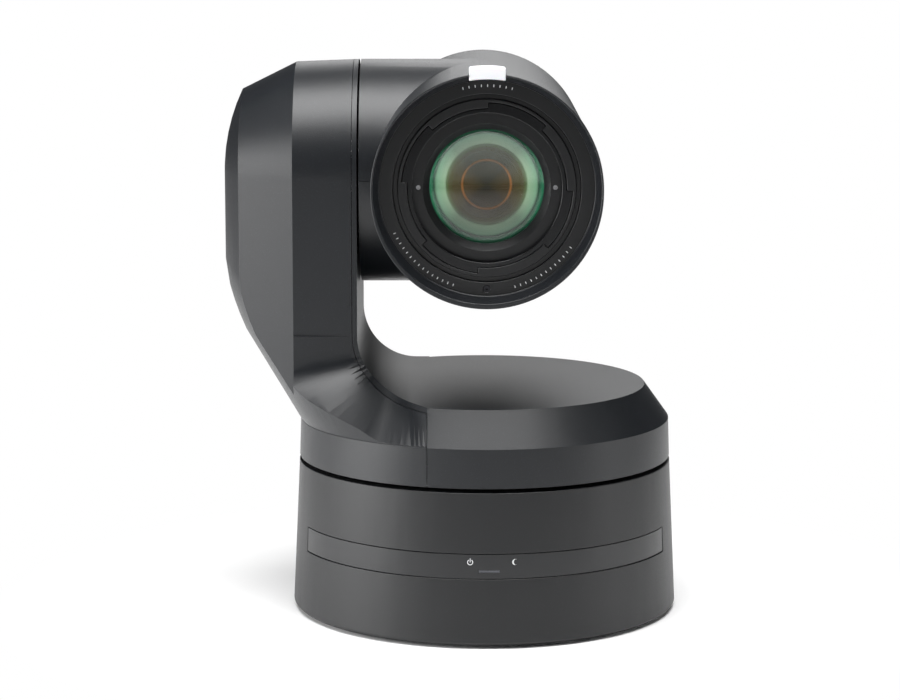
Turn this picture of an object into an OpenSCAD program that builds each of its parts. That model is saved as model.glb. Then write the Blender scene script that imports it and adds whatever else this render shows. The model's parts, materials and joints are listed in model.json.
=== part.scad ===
// Pan-tilt-zoom camera: a round base, a turning unit with one arm, and a lens head on the arm.
// Frame: origin at the foot of the tripod thread, +Z up, the lens looks along -Y. Millimetres.

/* [Base] */
// Radius of the base at its lower edge
base_r = 92.5; // [75:1:115]
// Radius of the base at its upper edge
base_top_r = 89.7; // [72:0.1:112]
// Height of the base's upper edge above the feet
base_h = 72; // [60:1:95]
// Wall of the base housing
base_wall = 2.5; // [1.6:0.1:3.2]
// Thickness of the metal bottom plate
plate_t = 2; // [1.5:0.1:4]
// Height of the rubber feet
foot_t = 1.2; // [0.8:0.1:2]
// Radius of the circle that the feet stand on
foot_pcd_r = 66; // [45:1:72]
// Half angle of the front strip
strip_half_angle = 68; // [40:1:74]
// Height of the front strip's lower edge
strip_z = 32.6; // [24:0.1:38]
// Height of the front strip
strip_h = 11.2; // [8:0.1:14]
// Thickness of the front strip
strip_t = 1.4; // [1:0.1:1.5]
// Width of the rear connector panel
rear_panel_w = 104; // [102:1:108]
// Height of the rear connector panel
rear_panel_h = 44; // [40:1:46]

/* [Mounting] */
// Radius of the tripod thread's wall
tripod_r = 2.6; // [2:0.05:4]
// Depth of the tripod thread
tripod_depth = 10; // [6:0.5:12]
// Circle through the four ceiling bracket holes
bracket_pcd = 120; // [80:1:125]
// Radius of a bracket hole
bracket_hole_r = 1.65; // [1.2:0.05:2.2]

/* [Turning unit] */
// Gap between the base and the turning unit
pan_gap = 2; // [1:0.1:4]
// Height of the turning unit's upright rim
rim_h = 18; // [14:0.5:24]
// Height of the sloped shoulder above the rim
shoulder_h = 16.2; // [12:0.1:22]
// Radius of the flat top face
top_r = 76.8; // [66:0.1:80]
// Wall of the covers
cover_wall = 2.2; // [1.5:0.1:3]
// Place of the seam between the two covers
seam_x = -27; // [-30:0.5:-20]
// Width of the seam
seam_gap = 0.25; // [0.1:0.05:0.5]

/* [Arm] */
// Arm's inner face, to the left of the pan axis
arm_inner_x = -60.2; // [-75:0.1:-59]
// Width of the arm's front face
arm_face_w = 30; // [26:0.5:38]
// Width of the arm's bevel, measured along X
arm_bevel_w = 26; // [16:0.5:32]
// Drop of the bevel
arm_bevel_drop = 12.9; // [8:0.1:16]
// Bulge of the outer face
arm_dome_h = 9; // [5:0.1:12]
// Radius between the arm and the top face
arm_fillet = 26.8; // [18:0.1:34]
// Length of the straight stretch between the arm's round ends
arm_straight = 39.8; // [25:0.1:60]

/* [Head] */
// Height of the tilt axis above the top face
tilt_rise = 100.1; // [98:0.1:130]
// Tilt axis behind the pan axis
tilt_y = 20; // [14:0.5:24]
// Radius of the drum and of the arm's round end
drum_r = 53.4; // [50:0.1:56]
// Gap between the drum and the arm
drum_gap = 1; // [0.5:0.1:2]
// Radius of the barrel
barrel_r = 51.9; // [49:0.1:53]
// Extra depth of the barrel's underside
barrel_chin = 1.4; // [0.5:0.1:2]
// Optical axis above the tilt axis
lens_rise = 1.2; // [0:0.1:2]
// Front of the rim, ahead of the tilt axis
head_front = 105; // [96:0.5:106]
// Start of the rear cover's slope, behind the tilt axis
head_rear = 81; // [74:0.5:83]
// Depth of the rear cover's slope
rear_slope = 9.5; // [6:0.5:12]
// Radius of the flat rear face
rear_flat_r = 34; // [26:0.5:36]
// Wall of the head shells
head_wall = 2.2; // [1.5:0.1:3]

/* [Lens] */
// Outer radius of the front lens
glass_r = 26; // [20:0.5:27]
// Inner radius of the lens tube
tube_r = 27.2; // [24:0.1:28]
// Wall of the lens tube
tube_wall = 2.6; // [1.5:0.1:3]
// Radial clearance of the sliding lens groups
slide_gap = 0.08; // [0.03:0.01:0.1]
// Travel of the zoom group each way
zoom_travel = 9; // [4:0.5:11]
// Travel of the focus group each way
focus_travel = 4; // [2:0.5:6]

/* [Drives] */
// Radius of the large pan pulley
pan_pulley_r = 36; // [30:0.5:40]
// Radius of the large tilt pulley
tilt_pulley_r = 30; // [26:0.5:33]
// Radius of both motor pulleys
motor_pulley_r = 9; // [7:0.5:11]
// Distance from the pan axis to the pan motor
pan_motor_x = 62; // [56:0.5:64]
// Distance from the tilt axis to the tilt motor
tilt_motor_drop = 60; // [54:0.5:66]
// Belt thickness
belt_t = 1.3; // [0.8:0.1:2]
// Belt width
belt_w = 7; // [5:0.5:8]
// Running clearance of shafts and belts
run_gap = 0.06; // [0.02:0.01:0.1]
// Outer radius of the pan and tilt shafts
shaft_r = 20; // [16:0.5:22]
// Outer radius of the bearings
bearing_r = 29; // [26:0.5:31]

/* [Hidden] */

$fn = 96;
eps = 0.01;                       // overlap that makes a cut pass its face
rub = 0.05;                       // clearance of pieces that seat in each other
hull_fn = 48;                     // sides of the round pieces inside a hull

// Heights of the turning unit, from the base upwards
pan_z = base_h + pan_gap;
edge_z = pan_z + rim_h;
top_z = edge_z + shoulder_h;
tilt_z = top_z + tilt_rise;
pan_r = base_top_r - 0.7;         // the turning unit stands back a little from the base
edge_r = pan_r - 0.6;
lens_z = tilt_z + lens_rise;

// Arm, along X from its inner face to the crown of its outer face
arm_face_x = arm_inner_x - arm_face_w;
arm_bevel_x = arm_face_x - arm_bevel_w;
flare_top_z = tilt_z - arm_straight;
flare_round = 1.6;                // how early the flare turns upright
arm_face_r = drum_r - 1.2;
arm_front_y = tilt_y - drum_r;
arm_rear_y = tilt_y + drum_r;

// Head, along Y
rim_y = tilt_y - head_front;
rim_len = 13;                     // length of the front rim
shell_front_y = rim_y + rim_len;
rear_y = tilt_y + head_rear;
rear_cover_y = rear_y - 6;        // the rear cover takes the last stretch of the barrel
rear_end_y = rear_y + rear_slope;
drum_x = arm_inner_x + drum_gap;

// Base inside
plate_top = foot_t + plate_t;
deck_t = 2.5;                     // top deck of the base housing
board_z = 18;                     // underside of the main board
board_t = 1.6;
deck_z = base_h - deck_t;
bearing_h = 8;
belt_z = deck_z - bearing_h - belt_w - 5;   // underside of the pan belt
hub_low_z = belt_z - 1;
boss_r = 4.5;
boss_ring_r = base_top_r - base_wall - boss_r + 1;   // circle of the base's screws
recess_wall = 2;                  // wall of the recess round the connector panel
screw_r = 1.5;
screw_hole_r = 1.6;
rear_panel_y = 70;
rear_panel_t = 2;
rear_panel_z = 16;

function base_r_at(z) = base_r + (base_top_r - base_r) * z / base_h;

// ---- shared shapes -------------------------------------------------------------------------

module at_tilt_axis(x) { translate([x, tilt_y, tilt_z]) rotate([0, 90, 0]) children(); }
module at_lens_axis(y) { translate([0, y, lens_z]) rotate([-90, 0, 0]) children(); }

module tube(r_out, r_in, h) {
    difference() {
        cylinder(r = r_out, h = h);
        translate([0, 0, -eps]) cylinder(r = r_in, h = h + 2 * eps);
    }
}

module ring_of(count, r, start = 0) {
    for (i = [0 : count - 1]) rotate(start + i * 360 / count) translate([r, 0, 0]) children();
}

module block(x, y, z) { translate([x[0], y[0], z[0]]) cube([x[1] - x[0], y[1] - y[0], z[1] - z[0]]); }

// Band between two radii, to half_angle on each side of the front
module sector_band(r_out, r_in, z, h, half_angle) {
    translate([0, 0, z]) rotate(-90 - half_angle)
        rotate_extrude(angle = 2 * half_angle) translate([r_in, 0]) square([r_out - r_in, h]);
}

module belt_loop(r_big, r_small, distance) {
    difference() {
        hull() {
            circle(r = r_big + run_gap + belt_t);
            translate([distance, 0]) circle(r = r_small + run_gap + belt_t);
        }
        hull() {
            circle(r = r_big + run_gap);
            translate([distance, 0]) circle(r = r_small + run_gap);
        }
    }
}

// A motor pulley with its shaft: flange, toothed drum and flange, lying in z = 0 to belt_w
module motor_pulley_shape(shaft_below) {
    teeth = 24;
    difference() {
        union() {
            cylinder(r = motor_pulley_r, h = belt_w);
            translate([0, 0, -1.5]) cylinder(r = motor_pulley_r + 0.8, h = 1);
            translate([0, 0, -1.5]) cylinder(r = motor_pulley_r - 1, h = 2);
            translate([0, 0, -shaft_below]) cylinder(r = 2, h = belt_w + shaft_below + 2);
        }
        ring_of(teeth, motor_pulley_r) translate([0, 0, -eps]) cylinder(r = 0.5, h = belt_w + 2 * eps, $fn = 16);
    }
}

// ---- base ----------------------------------------------------------------------------------

module base_outline(inset) {
    polygon([
        [0, foot_t], [base_r_at(foot_t) - 1.5 - inset, foot_t], [base_r_at(2.7) - inset, 2.7],
        [base_top_r - 0.6 - inset, base_h - inset], [0, base_h - inset]
    ]);
}

module base_housing() color("#2b2d30") {
    difference() {
        union() {
            difference() {
                rotate_extrude() base_outline(0);
                translate([0, 0, -eps]) rotate_extrude() polygon([
                    [0, 0], [base_r_at(0) - base_wall - 0.3, 0],
                    [base_top_r - base_wall, deck_z], [0, deck_z]
                ]);
            }
            // Seat of the pan bearing under the deck
            translate([0, 0, deck_z - bearing_h]) tube(bearing_r + 4, bearing_r + rub, bearing_h + eps);
            // Screw bosses on the wall, and the box round the connector panel
            intersection() {
                rotate_extrude() base_outline(eps);
                union() {
                    ring_of(4, boss_ring_r) translate([0, 0, plate_top + rub]) {
                        cylinder(r = boss_r, h = 14);
                        translate([0, -boss_r, 0]) cube([2 * boss_r, 2 * boss_r, 14]);
                    }
                    block([-rear_panel_w / 2 - recess_wall, rear_panel_w / 2 + recess_wall],
                        [rear_panel_y - rear_panel_t - 1, base_r],
                        [rear_panel_z - recess_wall, rear_panel_z + rear_panel_h + recess_wall]);
                }
            }
        }
        translate([0, 0, deck_z - eps]) cylinder(r = bearing_r + rub, h = deck_t + 1);
        ring_of(4, boss_ring_r) translate([0, 0, -eps]) cylinder(r = screw_hole_r, h = 14);
        // Recess of the front strip, and the window behind its lamp
        sector_band(base_r + 1, base_r_at(strip_z) - strip_t - 0.4, strip_z - 0.25, strip_h + 0.5,
            strip_half_angle + 0.15);
        block([-8, 10], [-base_r, -base_top_r + 8], [strip_z + 1.4, strip_z + 5.4]);
        // Opening for the connector panel
        block([-rear_panel_w / 2, rear_panel_w / 2], [rear_panel_y - rear_panel_t - 2, base_r + 1],
            [rear_panel_z, rear_panel_z + rear_panel_h]);
    }
}

module base_plate() color("#5a5c5f") {
    difference() {
        union() {
            translate([0, 0, foot_t]) cylinder(r = base_r_at(0) - base_wall - 1, h = plate_t);
            cylinder(r = 12, h = tripod_depth + 4);
            for (x = [-62, 34], y = [-48, 52])
                translate([x, y, foot_t]) cylinder(r = 3, h = board_z - foot_t);
        }
        translate([0, 0, -eps]) cylinder(r = tripod_r, h = tripod_depth + eps);
        ring_of(4, bracket_pcd / 2, 45) translate([0, 0, -eps]) cylinder(r = bracket_hole_r, h = plate_top + 1);
        ring_of(4, boss_ring_r) translate([0, 0, -eps]) cylinder(r = screw_hole_r, h = plate_top + 1);
        // Air slots
        for (i = [-4 : 4]) block([i * 8 - 1.5, i * 8 + 1.5], [-44, -24], [0, plate_top + 1]);
    }
}

module rubber_feet() color("#151515")
    ring_of(4, foot_pcd_r, 15) cylinder(r = 8, h = foot_t);

module base_screws() color("#3a3a3c")
    ring_of(4, boss_ring_r) difference() {
        union() {
            translate([0, 0, foot_t - 0.9]) cylinder(r = 2.8, h = 0.9);
            translate([0, 0, foot_t - 0.9]) cylinder(r = screw_r, h = 11);
        }
        translate([0, 0, -eps]) cylinder(r = 1.1, h = foot_t - 0.3, $fn = 6);
    }

module front_strip() color("#1d1f22") {
    r_strip = base_r_at(strip_z + strip_h / 2);
    difference() {
        intersection() {
            sector_band(base_r + 1, base_r_at(strip_z) - strip_t, strip_z, strip_h, strip_half_angle);
            rotate_extrude() polygon([
                [0, strip_z - 1], [base_r_at(strip_z - 1) - 0.5, strip_z - 1],
                [base_r_at(strip_z + strip_h + 1) - 0.5, strip_z + strip_h + 1], [0, strip_z + strip_h + 1]
            ]);
        }
        block([-3.6, 6], [-r_strip - 3, -r_strip + 5], [strip_z + 2.8, strip_z + 4]);
    }
}

module status_led() color("#6c7078")
    block([-3.5, 5.9], [-base_r_at(strip_z) + 1, -base_top_r + 7], [strip_z + 2.9, strip_z + 3.9]);

module indicator_board() color("#1f5a35")
    block([-14, 16], [-base_top_r + 7, -base_top_r + 8.4], [strip_z - 2, strip_z + 12]);

module rear_panel() color("#26282b") difference() {
    block([-rear_panel_w / 2 + 0.3, rear_panel_w / 2 - 0.3], [rear_panel_y - rear_panel_t, rear_panel_y],
        [rear_panel_z + 0.3, rear_panel_z + rear_panel_h - 0.3]);
    for (x = sdi_x) socket_hole(x, upper_row_z, 6.1);
    socket_hole(power_x, lower_row_z, 8.1);
    socket_hole(audio_x, upper_row_z, 4.1);
    for (x = network_x) socket_window(x, lower_row_z, 16.2, 13.7);
    socket_window(hdmi_x, upper_row_z, 16.2, 7.2);
}

// Rows and places of the sockets on the rear panel
upper_row_z = 49;
lower_row_z = 28;
sdi_x = [-44, -24, -4];
hdmi_x = 18;
audio_x = 38;
power_x = 42;
network_x = [-40, -16];
socket_in_y = rear_panel_y - rear_panel_t - 12;

module socket_hole(x, z, r)
    translate([x, rear_panel_y + 1, z]) rotate([90, 0, 0]) cylinder(r = r, h = rear_panel_t + 2);
module socket_window(x, z, w, h)
    block([x - w / 2, x + w / 2], [rear_panel_y - rear_panel_t - 1, rear_panel_y + 1], [z - h / 2, z + h / 2]);

module sdi_sockets() color("#c9cbcd")
    for (x = sdi_x) translate([x, 0, upper_row_z]) rotate([-90, 0, 0]) {
        translate([0, 0, socket_in_y]) cylinder(r = 6, h = 14);
        translate([0, 0, socket_in_y + 14 - eps]) difference() {
            union() {
                cylinder(r = 4.8, h = 11);
                translate([0, 0, 7]) rotate([0, 90, 0]) translate([0, 0, -5.6]) cylinder(r = 1, h = 11.2);
            }
            translate([0, 0, 2]) cylinder(r = 3.8, h = 12);
        }
        translate([0, 0, socket_in_y + 15]) cylinder(r = 1.2, h = 8);
    }

module hdmi_socket() color("#9a9da1") difference() {
    block([hdmi_x - 8, hdmi_x + 8], [socket_in_y, rear_panel_y + 1], [upper_row_z - 3.5, upper_row_z + 3.5]);
    block([hdmi_x - 7.2, hdmi_x + 7.2], [socket_in_y + 3, rear_panel_y + 2], [upper_row_z - 2.6, upper_row_z + 2.6]);
}

module network_sockets() color("#b8bbbe")
    for (x = network_x) difference() {
        block([x - 8, x + 8], [socket_in_y, rear_panel_y + 1], [lower_row_z - 6.75, lower_row_z + 6.75]);
        block([x - 6, x + 6], [socket_in_y + 2, rear_panel_y + 2], [lower_row_z - 4, lower_row_z + 4]);
    }

module power_socket() color("#1b1b1c")
    translate([power_x, socket_in_y, lower_row_z]) rotate([-90, 0, 0]) {
        difference() {
            cylinder(r = 8, h = 16);
            translate([0, 0, 4]) cylinder(r = 6.6, h = 13);
        }
        for (x = [-2.6, 2.6], y = [-2.6, 2.6]) translate([x, y, 3]) cylinder(r = 0.8, h = 9);
    }

module audio_socket() color("#303033")
    translate([audio_x, socket_in_y + 4, upper_row_z]) rotate([-90, 0, 0]) tube(4, 1.8, 11);

module main_board() color("#1f5a35") {
    difference() {
        block([-65, 40], [-54, 58], [board_z, board_z + board_t]);
        translate([0, 0, board_z - 1]) cylinder(r = 14, h = 5);
    }
    for (p = [[-8, -36, 16], [14, -34, 12], [-10, 34, 14]])
        block([p[0] - p[2] / 2, p[0] + p[2] / 2], [p[1] - p[2] / 2, p[1] + p[2] / 2],
            [board_z + board_t - eps, board_z + board_t + 2.4]);
}

module pan_bearing() color("#b0b2b5")
    translate([0, 0, deck_z - bearing_h]) tube(bearing_r, shaft_r + run_gap, bearing_h + deck_t);

bracket_z = belt_z - 6;           // underside of the pan motor's bracket

module pan_motor_bracket() color("#77797c") difference() {
    union() {
        block([pan_motor_x - 17, pan_motor_x + 17], [-18, 18], [bracket_z, bracket_z + 2.5]);
        for (s = [-1, 1])
            block([pan_motor_x - 10, pan_motor_x + 10], [s * 17 - 1, s * 17 + 1], [plate_top, bracket_z + eps]);
    }
    translate([pan_motor_x, 0, bracket_z - 1]) cylinder(r = 4, h = 5);
}

module pan_motor() color("#8b8d90") translate([pan_motor_x, 0, 0]) {
    difference() {
        translate([0, 0, bracket_z - 30]) cylinder(r = 14, h = 30);
        translate([0, 0, bracket_z - 12]) cylinder(r = 2 + run_gap, h = 13);
    }
}

module pan_motor_pulley() color("#a9abae")
    translate([pan_motor_x, 0, belt_z]) motor_pulley_shape(belt_z - bracket_z + 11);

module pan_belt() color("#161616")
    translate([0, 0, belt_z]) linear_extrude(belt_w) belt_loop(pan_pulley_r, motor_pulley_r, pan_motor_x);

fan_x = -46;
fan_z = board_z + board_t + 5;

module fan_frame() color("#1c1c1d") translate([fan_x, 0, 0]) {
    difference() {
        block([-20, 20], [-20, 20], [fan_z, fan_z + 10]);
        translate([0, 0, fan_z - 1]) cylinder(r = 18.5, h = 12);
    }
    block([-20, 20], [-1.5, 1.5], [fan_z, fan_z + 1.5]);
    block([-1.5, 1.5], [-20, 20], [fan_z, fan_z + 1.5]);
    translate([0, 0, fan_z]) cylinder(r = 2, h = 6);
    for (x = [-17.5, 17.5], y = [-17.5, 17.5])
        translate([x, y, board_z + board_t]) cylinder(r = 2, h = 5 + eps);
}

module fan_rotor() color("#29292b") translate([fan_x, 0, fan_z + 2.4]) {
    difference() {
        cylinder(r = 8, h = 7);
        translate([0, 0, -eps]) cylinder(r = 2 + run_gap, h = 5);
    }
    ring_of(7, 12.5) rotate([32, 0, 0]) translate([-5.2, -3.4, 2.8]) cube([10, 7.6, 0.9]);
}

// ---- turning unit --------------------------------------------------------------------------

cover_screw_r = 79;               // circle of the screws under the turntable

module turntable() color("#6f7174") {
    difference() {
        union() {
            translate([0, 0, pan_z]) cylinder(r = pan_r - cover_wall - 0.5, h = 3);
            translate([0, 0, hub_low_z]) cylinder(r = shaft_r, h = pan_z - hub_low_z + 1);
            translate([0, 0, belt_z]) cylinder(r = pan_pulley_r, h = belt_w);
            translate([0, 0, hub_low_z]) cylinder(r = pan_pulley_r + 1, h = 1);
        }
        translate([0, 0, hub_low_z - 1]) cylinder(r = 13, h = pan_z);
        ring_of(6, 27.5) translate([0, 0, hub_low_z - 1]) cylinder(r = 5, h = belt_w + 3);
        ring_of(3, cover_screw_r, -60) translate([0, 0, pan_z - 1]) cylinder(r = screw_hole_r, h = 5);
    }
}

module slip_ring() color("#94773a") {
    translate([0, 0, hub_low_z]) cylinder(r = 12.8, h = pan_z - hub_low_z);
    translate([0, 0, pan_z - eps]) cylinder(r = 6, h = 8);
}

// Solid of revolution of the arm's end: face, bevel and domed crown, pointing along -X
module arm_end(inset) {
    r_bevel = arm_face_r - arm_bevel_drop - inset;
    crown_r = (pow(r_bevel, 2) + pow(arm_dome_h, 2)) / (2 * arm_dome_h);
    dome_steps = 6;
    rotate([0, -90, 0]) rotate_extrude($fn = hull_fn * 2) polygon(concat(
        [[0, -arm_inner_x + inset - tuck], [drum_r - inset, -arm_inner_x + inset - tuck], [arm_face_r - inset, -arm_face_x],
         [r_bevel, -arm_bevel_x - inset * 0.5]],
        [for (i = [1 : dome_steps]) let (r = r_bevel * (1 - i / dome_steps))
            [r, -arm_bevel_x - inset * 0.5 + sqrt(pow(crown_r, 2) - pow(r, 2)) - crown_r + arm_dome_h - inset * 0.5]]
    ));
}

tuck = 0.3;      // how far pieces of one cover run into each other
shave = 0.05;    // cut that clears a curved side's tangent line
foot_end_x = seam_x - seam_gap / 2;

// Section of the flare between the turning unit's edge (share 0) and the arm's full outline (1)
module flare_section(share, h, inset) {
    crown_r = (pow(arm_face_r - arm_bevel_drop, 2) + pow(arm_dome_h, 2)) / (2 * arm_dome_h);
    low_r = edge_r - tuck;
    low_z = edge_z - tuck;
    r = low_r + (crown_r - low_r) * share;
    outer_x = -low_r + (arm_bevel_x - arm_dome_h - tuck + low_r) * (1 - pow(1 - share, flare_round));
    translate([outer_x + r, tilt_y * share, low_z + (flare_top_z - low_z) * share])
        cylinder(r = r - inset, h = h);
}

// Arm standing on the turning unit's edge, flared out from the edge's circle to its own outline
module arm_flare(inset) intersection() {
    hull() {
        flare_section(0, 0.1, inset);
        for (share = [0.55 : 0.09 : 0.9]) flare_section(share, 0.1, inset);
        flare_section(1, tilt_z, inset);
    }
    union() {
        hull() for (z = [edge_z - 2 * tuck, tilt_z]) translate([0, tilt_y, z]) arm_end(inset);
        block([arm_face_x + inset + shave, seam_x], [-2 * base_r, 2 * base_r], [edge_z - tuck, foot_corner_z + tuck]);
    }
}

// Space over the top face and beside the arm, with the round corner between them
module head_space(inset) {
    far = 2 * base_r;
    translate([0, far, 0]) rotate([90, 0, 0]) linear_extrude(2 * far) {
        translate([foot_corner_x, top_z - inset]) square([far, far * 2]);
        translate([arm_inner_x - inset, foot_corner_z]) square([far, far * 2]);
        translate([foot_corner_x, foot_corner_z]) circle(r = arm_fillet + inset);
    }
}

module shoulder(inset) rotate_extrude() polygon([
    [0, pan_z - inset], [pan_r - inset, pan_z - inset], [edge_r - inset, edge_z],
    [top_r - inset, top_z - inset], [top_r - inset, top_z - inset + tuck], [0, top_z - inset + tuck]
]);

// Front of the arm's foot: one face that leans back as it sweeps round the corner to the shoulder.
// Stations follow the corner's angle, from 180 beside the arm to 270, and then the top face.
foot_start = 180;
foot_corner = 270;
foot_lean_start = 195;            // station where the face starts to lean
foot_edge_start = 222;            // station where its inner edge starts to come forward
foot_corner_x = arm_inner_x + arm_fillet;
foot_corner_z = top_z + arm_fillet;
foot_mm = arm_fillet * PI / 180;  // length of one station along the inner edge
foot_end = foot_corner + (foot_end_x + 2 * shave - foot_corner_x) / foot_mm;
foot_reach = 2.6 * arm_fillet;    // how far the face runs out from the inner edge
foot_lean = 1.65;                 // steepest slope of the face
foot_step = 0.25;                 // how far the face lies behind the shoulder at the seam
foot_steps = 24;
foot_columns = 4;

function circle_y(r, x) = -sqrt(max(0, pow(r, 2) - pow(x, 2)));
function foot_share(s, start) = max(0, (s - start) / (foot_end - start));
function foot_edge_y(s) = arm_front_y + shave
    + (circle_y(top_r, seam_x) + foot_step - arm_front_y) * pow(foot_share(s, foot_edge_start), 1.5);
function foot_point(s, r, y) = let (a = min(s, foot_corner))
    [foot_corner_x + r * cos(a) + (s - a) * foot_mm, y, foot_corner_z + r * sin(a)];
// Slope that brings the face down to the edge's circle, so no ledge is left there
function foot_rim_slope(s) =
    let (r = (edge_z - foot_corner_z) / min(-0.1, sin(min(s, foot_corner))))
    (foot_edge_y(s) - circle_y(edge_r + 0.4, foot_point(s, r, 0)[0])) / (r - arm_fillet);
// The greater of the two slopes, with a soft change from one to the other
function foot_slope(s) = let (u = foot_share(s, foot_lean_start), a = foot_rim_slope(s),
        b = foot_lean * pow(sin(180 * u), 2))
    (a + b + sqrt(pow(a - b, 2) + pow(0.3 * u, 2))) / 2;
function foot_face(s, r, inset) =
    foot_point(s, r, foot_edge_y(s) - foot_slope(s) * (r - arm_fillet) + 1.4 * inset);

// Space in front of one patch of the foot's face, between two stations and two radii
module foot_patch(s, radii, inset) {
    front = [for (i = [0, 1], k = [0, 1]) foot_face(s[i], radii[k], inset)];
    back = [for (i = [0, 1], k = [0, 1]) foot_point(s[i], radii[k], -3 * base_r)];
    hull() polyhedron(points = concat(front, back),
        faces = [[0, 1, 3, 2], [4, 6, 7, 5], [0, 4, 5, 1], [2, 3, 7, 6], [0, 2, 6, 4], [1, 5, 7, 3]]);
}

// Space in front of the arm and its foot
module front_space(inset) {
    far = 3 * base_r;
    radii = [for (k = [0 : foot_columns]) arm_fillet - 1 + (foot_reach + 1) * pow(k / foot_columns, 1.5)];
    stations = [for (i = [0 : foot_steps]) foot_start + (foot_end - foot_start) * i / foot_steps];
    block([-far, foot_end_x + 2 * shave], [-far, arm_front_y + shave + 1.4 * inset], [foot_corner_z - tuck, 2 * tilt_z]);
    intersection() {
        for (i = [1 : foot_steps], k = [1 : foot_columns])
            foot_patch([stations[i - 1], stations[i]], [radii[k - 1], radii[k]], inset);
        block([-far, far], [-far, 0], [edge_z, foot_corner_z + tuck]);
    }
}

module turning_unit(inset) difference() {
    union() {
        difference() {
            shoulder(inset);
            block([-2 * base_r, foot_end_x], [-2 * base_r, 0], [edge_z, 2 * tilt_z]);
        }
        intersection() {
            arm_flare(inset);
            block([-2 * base_r, foot_end_x + shave], [-2 * base_r, arm_rear_y - inset - shave], [edge_z - tuck, 2 * tilt_z]);
        }
    }
    head_space(inset);
    front_space(inset);
}

module covers() difference() {
    turning_unit(0);
    turning_unit(cover_wall);
    translate([0, 0, pan_z - 1]) cylinder(r = pan_r - cover_wall, h = 1.5);
    at_tilt_axis(arm_inner_x - cover_wall - 1) cylinder(r = shaft_r + 3, h = cover_wall + 2);
}

// Everything on the arm cover's side of the seam
module seam_side(gap) difference() {
    block([-2 * base_r, seam_x - gap], [-2 * base_r, 2 * base_r], [0, 2 * tilt_z]);
    head_space(cover_wall + gap + shave);
}

module pan_cover() color("#25282d") difference() {
    covers();
    seam_side(0);
}

module arm_cover() color("#2a2d32") intersection() {
    covers();
    seam_side(seam_gap);
}

frame_x = arm_inner_x - cover_wall - 4.5;    // outer face of the arm frame's plate
frame_t = 3;

module arm_frame() color("#808285") difference() {
    union() {
        block([frame_x, frame_x + frame_t], [tilt_y - 30, tilt_y + 26], [pan_z + 3, tilt_z]);
        block([frame_x, seam_x - 6], [tilt_y - 30, tilt_y + 26], [pan_z + 3, pan_z + 6]);
        at_tilt_axis(frame_x) cylinder(r = bearing_r + 5, h = frame_t);
        at_tilt_axis(frame_x - 4) cylinder(r = bearing_r + 3, h = 4 + eps);
    }
    at_tilt_axis(frame_x - 5) cylinder(r = bearing_r + rub, h = frame_t + 10);
    at_tilt_axis(frame_x - 5) translate([tilt_motor_drop, 0, 0]) cylinder(r = motor_pulley_r + 1, h = frame_t + 10);
}

module arm_board() color("#1f5a35")
    block([-45, 45], [-50, -48.4], [pan_z + 3, pan_z + 26]);

module tilt_bearing() color("#b0b2b5")
    at_tilt_axis(frame_x - 4) tube(bearing_r, shaft_r + run_gap, frame_t + 4);

tilt_belt_x = frame_x - 14;       // left side of the tilt belt
tilt_motor_x = tilt_belt_x - 5;   // right face of the tilt motor

module tilt_motor() color("#8b8d90") {
    difference() {
        at_tilt_axis(tilt_motor_x - 20) translate([tilt_motor_drop, 0, 0]) cylinder(r = 13, h = 20);
        at_tilt_axis(tilt_motor_x - 10) translate([tilt_motor_drop, 0, 0]) cylinder(r = 2 + run_gap, h = 11);
    }
    difference() {
        at_tilt_axis(tilt_motor_x - 2) translate([tilt_motor_drop, 0, 0]) cube([30, 46, 4], center = true);
        at_tilt_axis(tilt_motor_x - 10) translate([tilt_motor_drop, 0, 0]) cylinder(r = 12.5, h = 20);
    }
    for (a = [-12, 12], b = [-20.5, 20.5]) at_tilt_axis(tilt_motor_x - eps)
        translate([tilt_motor_drop + a, b, 0]) cylinder(r = 2, h = frame_x - tilt_motor_x + eps);
}

module tilt_motor_pulley() color("#a9abae")
    at_tilt_axis(tilt_belt_x) translate([tilt_motor_drop, 0, 0]) motor_pulley_shape(13);

module tilt_belt() color("#161616")
    at_tilt_axis(tilt_belt_x) linear_extrude(belt_w)
        belt_loop(tilt_pulley_r, motor_pulley_r, tilt_motor_drop);

module cover_screws() color("#3a3a3c")
    ring_of(3, cover_screw_r, -60) translate([0, 0, pan_z - 0.8]) difference() {
        union() {
            cylinder(r = 2.7, h = 0.8);
            cylinder(r = screw_r, h = 3.8);
        }
        translate([0, 0, -eps]) cylinder(r = 1.1, h = 0.5, $fn = 6);
    }

// ---- head ----------------------------------------------------------------------------------

// Barrel outline: a circle with a slightly deeper underside, as solids along Y
module barrel_solid(r, y0, y1) {
    at_lens_axis(y0) cylinder(r = r, h = y1 - y0);
    at_lens_axis(y0) translate([0, barrel_chin, 0]) cylinder(r = r, h = y1 - y0);
    block([-r, r], [y0, y1], [lens_z - barrel_chin, lens_z]);
}

module head_solid(inset) {
    at_tilt_axis(drum_x + inset) cylinder(r = drum_r - inset, h = -drum_x - inset);
    barrel_solid(barrel_r - inset, shell_front_y - (inset > 0 ? 1 : 0), rear_cover_y + (inset > 0 ? 1 : 0));
}

module head_shell() difference() {
    head_solid(0);
    head_solid(head_wall);
    at_tilt_axis(drum_x - 1) cylinder(r = shaft_r + rub, h = head_wall + 2);
}

module head_upper_shell() color("#25282d") difference() {
    head_shell();
    block([-base_r, base_r], [-2 * base_r, 2 * base_r], [0, tilt_z + 0.12]);
    block([-lamp_w / 2 - 0.1, lamp_w / 2 + 0.1], [shell_front_y - 1, lamp_y + lamp_l + 0.1],
        [lens_z + 45, lens_z + 60]);
}

module head_lower_shell() color("#25282d") intersection() {
    head_shell();
    block([-base_r, base_r], [-2 * base_r, 2 * base_r], [0, tilt_z - 0.12]);
}

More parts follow.
